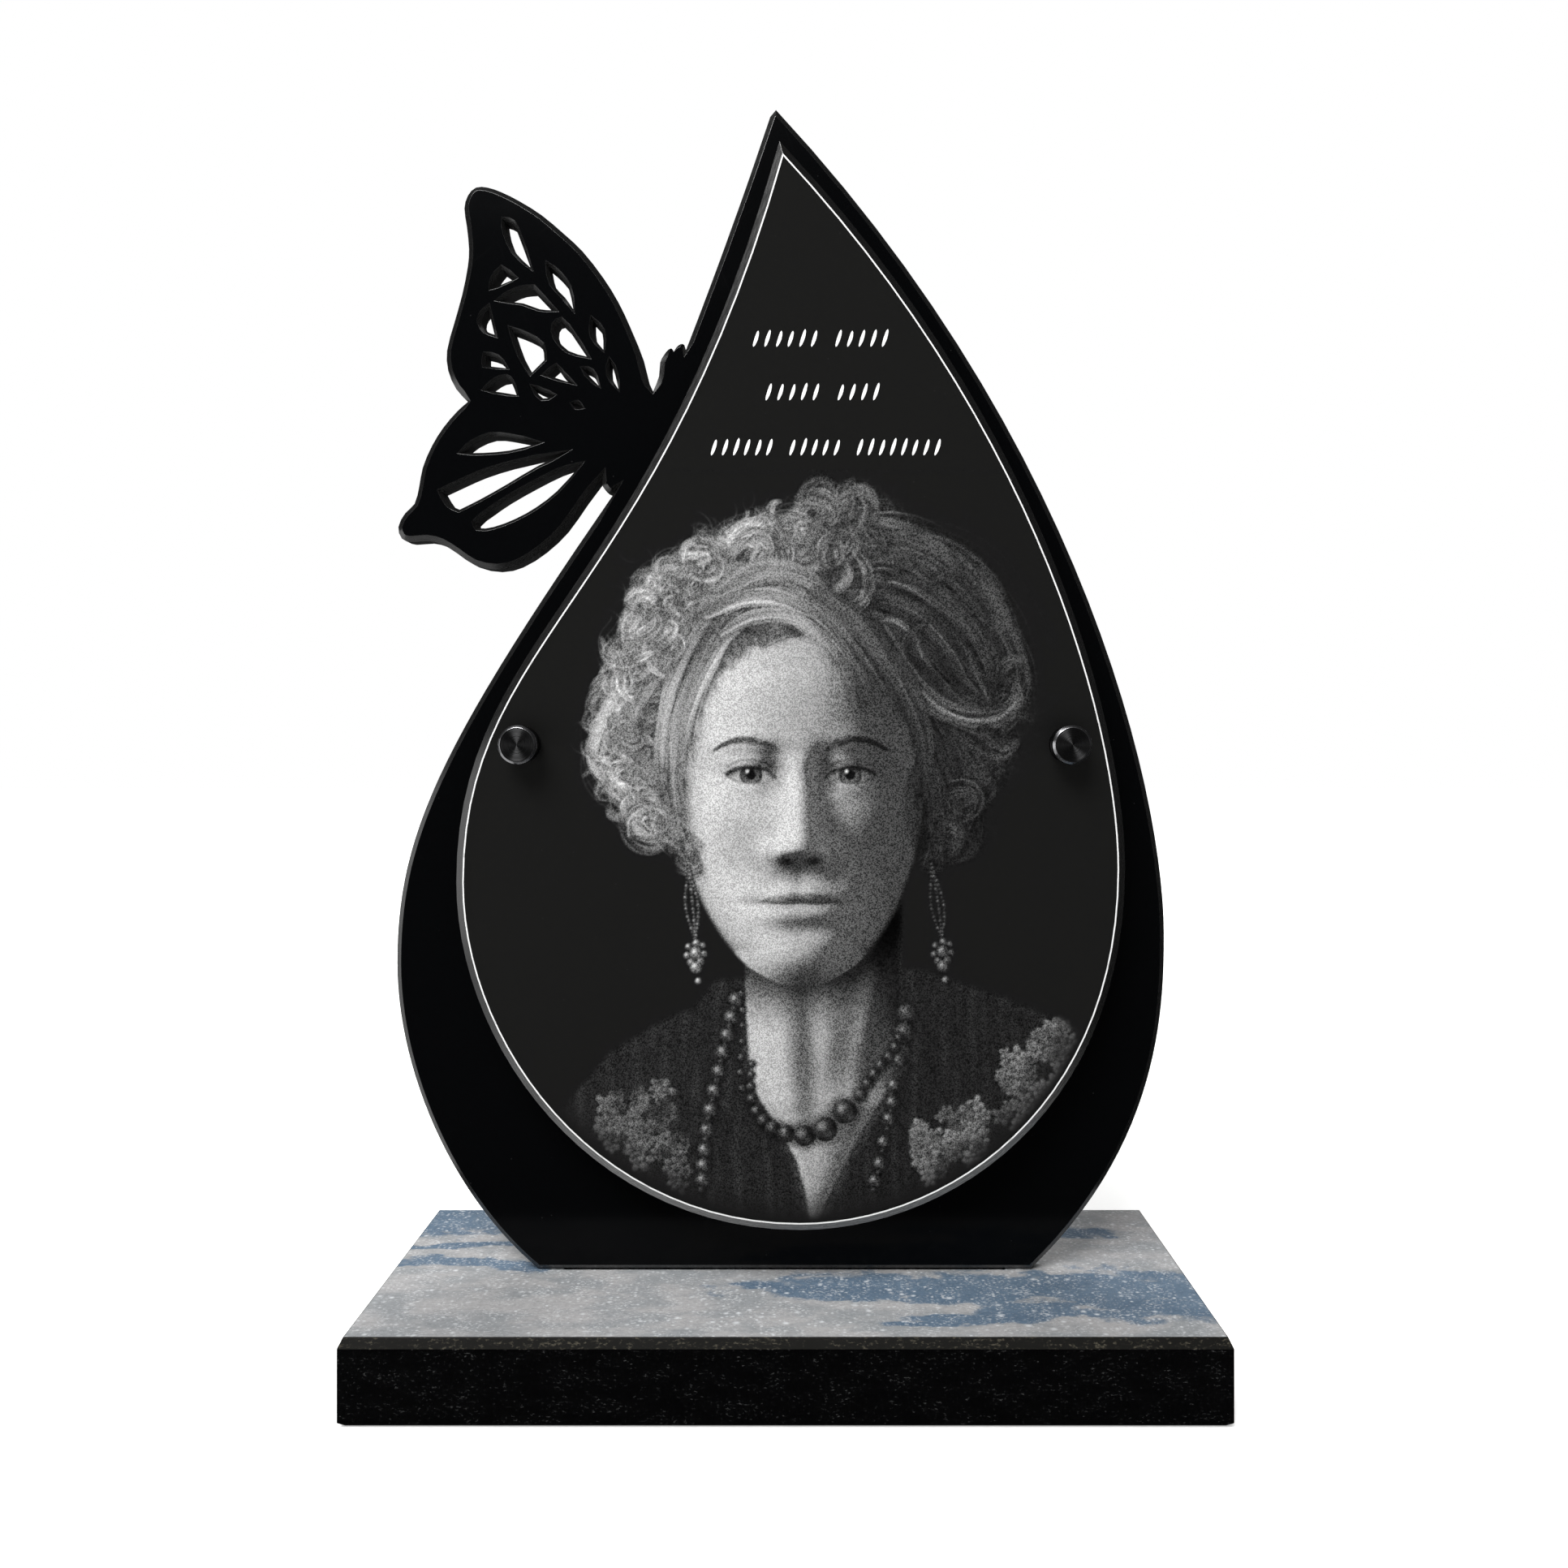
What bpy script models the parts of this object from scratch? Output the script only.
# Funeral plaque: a drop of black acrylic with a butterfly cut out of its flank, a smaller acrylic panel
# held in front of it on two turned stand-offs, and a black granite base block with a groove for the drop.
# Metres, +Z up, the front looks along -Y. The origin is at the centre of the base's underside.

import math

import bmesh
import bpy
from mathutils import Matrix, Vector
from mathutils.geometry import interpolate_bezier

MM = 0.001

# Clearance left between pieces that touch
FIT = 0.3 * MM

# Granite base
BASE_WIDTH = 300 * MM
BASE_DEPTH = 100 * MM
BASE_HEIGHT = 30 * MM
TOP_BEVEL_IN = 1.5 * MM
TOP_BEVEL_DOWN = 3.3 * MM
FOOT_BEVEL = 2 * MM

# Back plate, a drop and a butterfly in one sheet
PLATE_HEIGHT = 437.6 * MM
PLATE_THICKNESS = 8 * MM
PLATE_BEVEL = 2 * MM
CUTOUT_BEVEL = 1.3 * MM
PLATE_BEVEL_DEPTH = 1.5 * MM

# Tongue under the back plate, which stands in the base's groove
TONGUE_DEPTH = 12 * MM
TONGUE_END = 10 * MM
TONGUE_SHOULDER = 1.8 * MM
TONGUE_ROOT = 4 * MM

# Front panel
PANEL_FOOT_MARGIN = 24 * MM
PANEL_APEX_MARGIN = 25 * MM
PANEL_THICKNESS = 5 * MM
PANEL_BEVEL = 2.6 * MM
PANEL_BEVEL_DEPTH = 1.5 * MM
AIR_GAP = 10 * MM

# Stand-offs, turned from round bar
CAP_DIAMETER = 14 * MM
CAP_THICKNESS = 4.2 * MM
CAP_CHAMFER = 0.9 * MM
NECK_DIAMETER = 11 * MM
NECK_LENGTH = 0.9 * MM
COLLAR_DIAMETER = 13.2 * MM
COLLAR_LENGTH = 3.4 * MM
COLLAR_CHAMFER = 0.5 * MM
STUD_DIAMETER = 6 * MM
STUD_REACH = 4.5 * MM
SCREW_DIAMETER = 5 * MM
SCREW_REACH = 4 * MM
SCREW_HEAD_DIAMETER = 11 * MM
SCREW_HEAD_LENGTH = 1.8 * MM
ROUND_SIDES = 40

# Planes of the plates, front to back
PLATE_FRONT = -PLATE_THICKNESS / 2
PLATE_BACK = PLATE_THICKNESS / 2
PANEL_BACK = PLATE_FRONT - AIR_GAP
PANEL_FRONT = PANEL_BACK - PANEL_THICKNESS
PLATE_FOOT = BASE_HEIGHT + FIT
PANEL_FOOT = PLATE_FOOT + PANEL_FOOT_MARGIN
PANEL_HEIGHT = PLATE_HEIGHT - PANEL_FOOT_MARGIN - PANEL_APEX_MARGIN

# The drawn outlines, with X and Z in thousandths of their own plate's height, counter-clockwise from the
# front. A curve is a start, two handles and an end, and the lists are points on a smooth line.
DROP_FOOT = ((-215, 0), (210, 0))
DROP_RIGHT_LOW = ((210, 0), (323, 108), (325, 227), (325, 289))
DROP_RIGHT_HIGH = ((325, 289), (325, 399), (262, 708), (-10, 1000))
DROP_LEFT_HIGH = ((-15, 994), (-37, 928), (-62, 859), (-88, 792))
DROP_LEFT_MIDDLE = ((-147, 673), (-304, 446), (-337, 371), (-337, 264))
DROP_LEFT_LOW = ((-337, 264), (-337, 173), (-291, 63), (-215, 0))

ANTENNA_INNER = ((-88, 792), (-89, 797), (-92, 798), (-96, 795), (-98, 791))
ANTENNA_OUTER = ((-98, 791), (-100, 794), (-103, 793), (-107, 788), (-110, 782), (-111, 770), (-116, 757))
WING_LEADING_EDGE = (
    (-116, 757), (-121, 768), (-126, 788), (-136, 813), (-146, 834), (-159, 855), (-177, 878), (-193, 893),
    (-212, 909), (-231, 921), (-247, 929), (-259, 933), (-269, 933), (-276, 926), (-279, 915), (-277, 900),
    (-275, 880), (-276, 865), (-281, 840), (-288, 815), (-294, 792), (-293, 775), (-286, 759), (-276, 748))
WING_TRAILING_EDGE = (
    (-276, 748), (-285, 740), (-297, 726), (-307, 710), (-315, 691), (-318, 675), (-322, 660), (-330, 652),
    (-336, 640), (-333, 630), (-325, 627), (-310, 628), (-298, 625), (-285, 617), (-270, 607), (-250, 603),
    (-232, 607), (-211, 620), (-192, 638), (-175, 662), (-160, 682))
BODY_TAIL = ((-160, 682), (-160, 676), (-156, 671), (-151, 670), (-147, 673))

# Cut-outs of the butterfly, each of smooth runs that meet at corners, clockwise
CUTOUTS = (
    (((-244, 904), (-237, 901), (-232, 891), (-222, 864)),
     ((-222, 864), (-235, 877), (-242, 893), (-244, 904))),
    (((-246, 862), (-235, 854)),
     ((-235, 854), (-245, 850), (-255, 845)),
     ((-255, 845), (-252, 854), (-246, 862))),
    (((-247, 835), (-239, 840), (-229, 844), (-219, 845)), ((-219, 845), (-202, 827)),
     ((-202, 827), (-214, 828), (-228, 833), (-247, 835))),
    (((-258, 827), (-253, 806)), ((-253, 806), (-260, 809), (-264, 816), (-262, 823), (-258, 827))),
    (((-206, 865), (-197, 857), (-189, 846), (-185, 828)),
     ((-185, 828), (-192, 838), (-202, 849), (-206, 865))),
    (((-173, 787), (-189, 792), (-199, 803), (-200, 813), (-195, 817), (-185, 805), (-173, 787)),),
    (((-168, 818), (-160, 808), (-159, 793)), ((-159, 793), (-167, 804), (-168, 818))),
    (((-153, 783), (-149, 772), (-146, 759)), ((-146, 759), (-153, 771), (-153, 783))),
    (((-237, 809), (-224, 804), (-212, 796), (-210, 784)), ((-210, 784), (-221, 773)),
     ((-221, 773), (-230, 789), (-237, 809))),
    (((-260, 788), (-250, 785), (-243, 777)), ((-243, 777), (-260, 779)), ((-260, 779), (-260, 788))),
    (((-260, 758), (-251, 765), (-242, 768), (-238, 764), (-234, 754)),
     ((-234, 754), (-246, 756), (-260, 758))),
    (((-207, 771), (-199, 778)), ((-199, 778), (-194, 771), (-186, 764)), ((-186, 764), (-207, 771))),
    (((-176, 776), (-169, 773), (-163, 762)), ((-163, 762), (-169, 768), (-176, 776))),
    (((-219, 760), (-211, 756), (-201, 753)), ((-201, 753), (-211, 751), (-219, 760))),
    (((-186, 746), (-181, 746), (-176, 742)), ((-176, 742), (-182, 743), (-186, 746))),
    (((-280, 704), (-270, 712), (-255, 718), (-240, 717), (-215, 712)),
     ((-215, 712), (-240, 706), (-263, 704), (-280, 704))),
    (((-298, 670), (-283, 677), (-265, 685), (-240, 693), (-191, 704)),
     ((-191, 704), (-215, 693), (-242, 677), (-265, 664), (-283, 655)),
     ((-283, 655), (-291, 659), (-298, 670))),
    (((-179, 693), (-199, 671), (-217, 657), (-235, 647), (-254, 640), (-267, 639), (-269, 643), (-258, 652),
      (-242, 663), (-219, 676), (-197, 687), (-179, 693)),),
)

PANEL_RIGHT_LOW = ((12, 0), (149, 0), (310, 107), (310, 332))
PANEL_RIGHT_HIGH = ((310, 332), (310, 457), (241, 737), (-4, 1000))
PANEL_LEFT_HIGH = ((-4, 1000), (-124, 574), (-303, 550), (-303, 319))
PANEL_LEFT_LOW = ((-303, 319), (-303, 170), (-180, 0), (12, 0))
STANDOFF_PLACES = {"left": (-246, 448), "right": (261, 448)}

# Steps along each drawn curve, and between two points of a smooth line
CURVE_STEPS = 26
LINE_STEPS = 2
# A bevel stays narrower than this share of the bend it runs round, and widens no faster than this slope.
# Three points that span less than the flat area lie on a straight line.
BEND_SHARE = 0.5
BEVEL_SLOPE = 0.4
FLAT_AREA = 1e-6 * MM * MM


def clear_scene():
    for thing in list(bpy.data.objects):
        bpy.data.objects.remove(thing)


def material(name, colour, roughness, metallic=0.0):
    made = bpy.data.materials.new(name)
    made.use_nodes = True
    shader = made.node_tree.nodes["Principled BSDF"]
    shader.inputs["Base Color"].default_value = (*colour, 1)
    shader.inputs["Roughness"].default_value = roughness
    shader.inputs["Metallic"].default_value = metallic
    made.diffuse_color = (*colour, 1)
    return made


def add_object(name, mesh, look=None):
    made = bpy.data.objects.new(name, mesh)
    bpy.context.scene.collection.objects.link(made)
    if look:
        mesh.materials.append(look)
    return made


def mesh_from(bm, name):
    bmesh.ops.recalc_face_normals(bm, faces=bm.faces)
    mesh = bpy.data.meshes.new(name)
    bm.to_mesh(mesh)
    bm.free()
    return mesh


def combine(target, other, operation):
    """Join or cut target with other, which stays in the file as a hidden guide."""
    step = target.modifiers.new(operation.title(), "BOOLEAN")
    step.operation = operation
    step.object = other
    other.hide_render = True
    other.display_type = "WIRE"


# Outlines

def curve(points):
    """A drawn curve as points, without its end."""
    return interpolate_bezier(*(Vector(point) for point in points), CURVE_STEPS + 1)[:-1]


def smooth(points):
    """A smooth line through points, without its end."""
    knots = [Vector(point) for point in points]
    run = []
    for at in range(len(knots) - 1):
        here, there = knots[at], knots[at + 1]
        before, after = knots[max(at - 1, 0)], knots[min(at + 2, len(knots) - 1)]
        reach = (there - here).length / 3
        leave = here + (there - before).normalized() * reach
        arrive = there - (after - here).normalized() * reach
        run += interpolate_bezier(here, leave, arrive, there, LINE_STEPS + 1)[:-1]
    return run


def circle(centre, diameter):
    """A round hole, clockwise."""
    turn = [-2 * math.pi * step / ROUND_SIDES for step in range(ROUND_SIDES)]
    return [Vector(centre) + Vector((math.cos(angle), math.sin(angle))) * diameter / 2 for angle in turn]


def placed(points, height, foot):
    """Points in thousandths of a plate's height, as X and Z in metres."""
    return [Vector((point[0], point[1])) * height / 1000 + Vector((0, foot)) for point in points]


def bevel_widths(points, width):
    """How wide the bevel is at each point: full, but narrower round tight bends."""
    count = len(points)
    widths = []
    spans = []
    for before, here, after in zip(points[-1:] + points[:-1], points, points[1:] + points[:1]):
        chord = after - before
        area = abs((here - before).cross(chord)) / 2
        bend = (here - before).length * (after - here).length * chord.length / max(4 * area, FLAT_AREA)
        widths.append(min(width, BEND_SHARE * bend))
        spans.append((after - here).length)
    for step in range(2 * count):
        at = step % count
        widths[at] = min(widths[at], widths[at - 1] + BEVEL_SLOPE * spans[at - 1])
    for step in range(2 * count):
        at = -step % count
        widths[at - 1] = min(widths[at - 1], widths[at] + BEVEL_SLOPE * spans[at - 1])
    return widths


def moved_in(points, widths):
    """Each point moved towards the sheet's material, which lies to the left of the way round."""
    moved = []
    befores, afters = points[-1:] + points[:-1], points[1:] + points[:1]
    for before, here, after, width in zip(befores, points, afters, widths):
        arriving = (here - before).normalized()
        leaving = (after - here).normalized()
        normal = Vector((-arriving.y, arriving.x))
        mitre = (normal + Vector((-leaving.y, leaving.x))).normalized()
        moved.append(here + mitre * width / max(mitre.dot(normal), 0.5))
    return moved


def ring_at(bm, points, depth):
    return [bm.verts.new((point.x, depth, point.y)) for point in points]


def sheet(name, loops, front, back, bevel_depth, look):
    """A flat sheet between two planes. Each loop is its edge and, where that is bevelled, its front line."""
    bm = bmesh.new()
    front_edges = []
    back_edges = []
    for edge, front_line in loops:
        rings = [ring_at(bm, edge, back)]
        if front_line:
            rings.append(ring_at(bm, edge, front + bevel_depth))
        rings.append(ring_at(bm, front_line or edge, front))
        for deep, shallow in zip(rings, rings[1:]):
            for at in range(len(edge)):
                bm.faces.new((deep[at - 1], deep[at], shallow[at], shallow[at - 1]))
        back_edges += [bm.edges.get((rings[0][at - 1], rings[0][at])) for at in range(len(edge))]
        front_edges += [bm.edges.get((rings[-1][at - 1], rings[-1][at])) for at in range(len(edge))]
    bmesh.ops.triangle_fill(bm, use_beauty=True, edges=back_edges, normal=(0, 1, 0))
    bmesh.ops.triangle_fill(bm, use_beauty=True, edges=front_edges, normal=(0, -1, 0))
    return add_object(name, mesh_from(bm, name), look)


# Solids

def box(name, low, high, look=None):
    bm = bmesh.new()
    size = [top - bottom for bottom, top in zip(low, high)]
    middle = [(top + bottom) / 2 for bottom, top in zip(low, high)]
    bmesh.ops.create_cube(bm, size=1, matrix=Matrix.Translation(middle) @ Matrix.Diagonal((*size, 1)))
    return add_object(name, mesh_from(bm, name), look)


def turned(name, profile, place, look):
    """A turned piece: (radius, Y) points spun round an axis along Y. A profile off the axis makes a ring."""
    bm = bmesh.new()
    points = [bm.verts.new((radius, depth, 0)) for radius, depth in profile]
    edges = [bm.edges.new(pair) for pair in zip(points, points[1:])]
    if profile[0][0] > 0:
        edges.append(bm.edges.new((points[-1], points[0])))
    bmesh.ops.spin(bm, geom=points + edges, cent=(0, 0, 0), axis=(0, 1, 0), angle=2 * math.pi,
                   steps=ROUND_SIDES, use_merge=True)
    bmesh.ops.remove_doubles(bm, verts=bm.verts, dist=0.001 * MM)
    mesh = mesh_from(bm, name)
    mesh.shade_smooth()
    mesh.set_sharp_from_angle(angle=math.radians(25))
    made = add_object(name, mesh, look)
    made.location = (place.x, 0, place.y)
    return made


def chamfered(radius, start, end, chamfer):
    """The outer side of a turned disc or tube, with both its rims chamfered."""
    rim = radius - chamfer
    return [(rim, start), (radius, start + chamfer), (radius, end - chamfer), (rim, end)]


# Sub-parts

def tongue_span():
    left, right = (x * PLATE_HEIGHT / 1000 for x, _ in DROP_FOOT)
    return left + TONGUE_END, right - TONGUE_END


def make_base(look):
    bm = bmesh.new()
    shoulder = BASE_HEIGHT - TOP_BEVEL_DOWN
    levels = ((0, FOOT_BEVEL), (FOOT_BEVEL, 0), (shoulder, 0), (BASE_HEIGHT, TOP_BEVEL_IN))
    rings = []
    for height, inset in levels:
        half_width, half_depth = BASE_WIDTH / 2 - inset, BASE_DEPTH / 2 - inset
        corners = ((-half_width, -half_depth), (half_width, -half_depth), (half_width, half_depth),
                   (-half_width, half_depth))
        rings.append([bm.verts.new((x, y, height)) for x, y in corners])
    for lower, upper in zip(rings, rings[1:]):
        for at in range(4):
            bm.faces.new((lower[at - 1], lower[at], upper[at], upper[at - 1]))
    bm.faces.new(rings[0])
    bm.faces.new(rings[-1])
    base = add_object("base", mesh_from(bm, "base"), look)
    left, right = tongue_span()
    half = PLATE_THICKNESS / 2 - TONGUE_SHOULDER + FIT
    groove = box("groove_cutter", (left - FIT, -half, BASE_HEIGHT - TONGUE_DEPTH),
                 (right + FIT, half, BASE_HEIGHT + TONGUE_DEPTH))
    combine(base, groove, "DIFFERENCE")


def plate_outline():
    run = [Vector(DROP_FOOT[0])]
    run += curve(DROP_RIGHT_LOW) + curve(DROP_RIGHT_HIGH) + [Vector(DROP_RIGHT_HIGH[-1])]
    run += curve(DROP_LEFT_HIGH)
    for line in (ANTENNA_INNER, ANTENNA_OUTER, WING_LEADING_EDGE, WING_TRAILING_EDGE, BODY_TAIL):
        run += smooth(line)
    return run + curve(DROP_LEFT_MIDDLE) + curve(DROP_LEFT_LOW)


def panel_loop():
    """The panel's edge, one bevel outside the drawn outline of its face, and that outline."""
    run = []
    for part in (PANEL_RIGHT_LOW, PANEL_RIGHT_HIGH, PANEL_LEFT_HIGH, PANEL_LEFT_LOW):
        run += curve(part)
    face = placed(run, PANEL_HEIGHT, PANEL_FOOT)
    return moved_in(face, [-width for width in bevel_widths(face, PANEL_BEVEL)]), face


def plate_loop(points, bevel):
    """An edge of the back plate and the line one bevel in from it."""
    edge = placed(points, PLATE_HEIGHT, PLATE_FOOT)
    return edge, moved_in(edge, bevel_widths(edge, bevel))


def standoff_places():
    """Where each stand-off's axis crosses the plates, as X and Z."""
    return {side: placed([spot], PANEL_HEIGHT, PANEL_FOOT)[0] for side, spot in STANDOFF_PLACES.items()}


def make_back_plate(look):
    loops = [plate_loop(plate_outline(), PLATE_BEVEL)]
    for cutout in CUTOUTS:
        loops.append(plate_loop([point for run in cutout for point in smooth(run)], CUTOUT_BEVEL))
    for place in standoff_places().values():
        loops.append((circle(place, SCREW_DIAMETER + 2 * FIT), None))
    plate = sheet("back_plate", loops, PLATE_FRONT, PLATE_BACK, PLATE_BEVEL_DEPTH, look)
    left, right = tongue_span()
    tongue = box("tongue_guide", (left, PLATE_FRONT + TONGUE_SHOULDER, PLATE_FOOT - TONGUE_DEPTH),
                 (right, PLATE_BACK - TONGUE_SHOULDER, PLATE_FOOT + TONGUE_ROOT))
    combine(plate, tongue, "UNION")


def make_front_panel(look):
    loops = [panel_loop()]
    for place in standoff_places().values():
        loops.append((circle(place, STUD_DIAMETER + 2 * FIT), None))
    sheet("front_panel", loops, PANEL_FRONT, PANEL_BACK, PANEL_BEVEL_DEPTH, look)


def make_standoff(side, place, cap_look, dark_look):
    stud, screw, neck = STUD_DIAMETER / 2, SCREW_DIAMETER / 2, NECK_DIAMETER / 2
    bore = stud + FIT
    collar_front = PANEL_FRONT - FIT - COLLAR_LENGTH
    cap_back = collar_front - FIT - NECK_LENGTH
    cap_front = cap_back - CAP_THICKNESS
    stud_end = PANEL_BACK + STUD_REACH
    cap = [(0, cap_front)] + chamfered(CAP_DIAMETER / 2, cap_front, cap_back, CAP_CHAMFER)
    neck_end = cap_back + NECK_LENGTH
    cap += [(neck, cap_back), (neck, neck_end), (stud, neck_end), (stud, stud_end), (0, stud_end)]
    turned(f"{side}_standoff_cap", cap, place, cap_look)
    ring = [(bore, collar_front)]
    ring += chamfered(COLLAR_DIAMETER / 2, collar_front, PANEL_FRONT - FIT, COLLAR_CHAMFER)
    turned(f"{side}_standoff_collar", ring + [(bore, PANEL_FRONT - FIT)], place, dark_look)
    tube = [(bore, PANEL_BACK + FIT)]
    tube += chamfered(COLLAR_DIAMETER / 2, PANEL_BACK + FIT, PLATE_FRONT - FIT, COLLAR_CHAMFER)
    turned(f"{side}_standoff_barrel", tube + [(bore, PLATE_FRONT - FIT)], place, dark_look)
    head_front = PLATE_BACK + FIT
    head_back = head_front + SCREW_HEAD_LENGTH
    rear = [(0, PLATE_FRONT - SCREW_REACH), (screw, PLATE_FRONT - SCREW_REACH), (screw, head_front),
            (SCREW_HEAD_DIAMETER / 2, head_front), (SCREW_HEAD_DIAMETER / 2, head_back - COLLAR_CHAMFER),
            (SCREW_HEAD_DIAMETER / 2 - COLLAR_CHAMFER, head_back), (0, head_back)]
    turned(f"{side}_standoff_screw", rear, place, dark_look)


clear_scene()
make_base(material("black granite", (0.012, 0.012, 0.012), 0.25))
make_back_plate(material("back acrylic", (0.006, 0.006, 0.006), 0.06))
make_front_panel(material("front acrylic", (0.018, 0.018, 0.018), 0.08))
cap_metal = material("brushed black aluminium", (0.05, 0.05, 0.05), 0.35, 1.0)
dark_metal = material("black aluminium", (0.02, 0.02, 0.02), 0.45, 1.0)
for standoff_side, standoff_place in standoff_places().items():
    make_standoff(standoff_side, standoff_place, cap_metal, dark_metal)
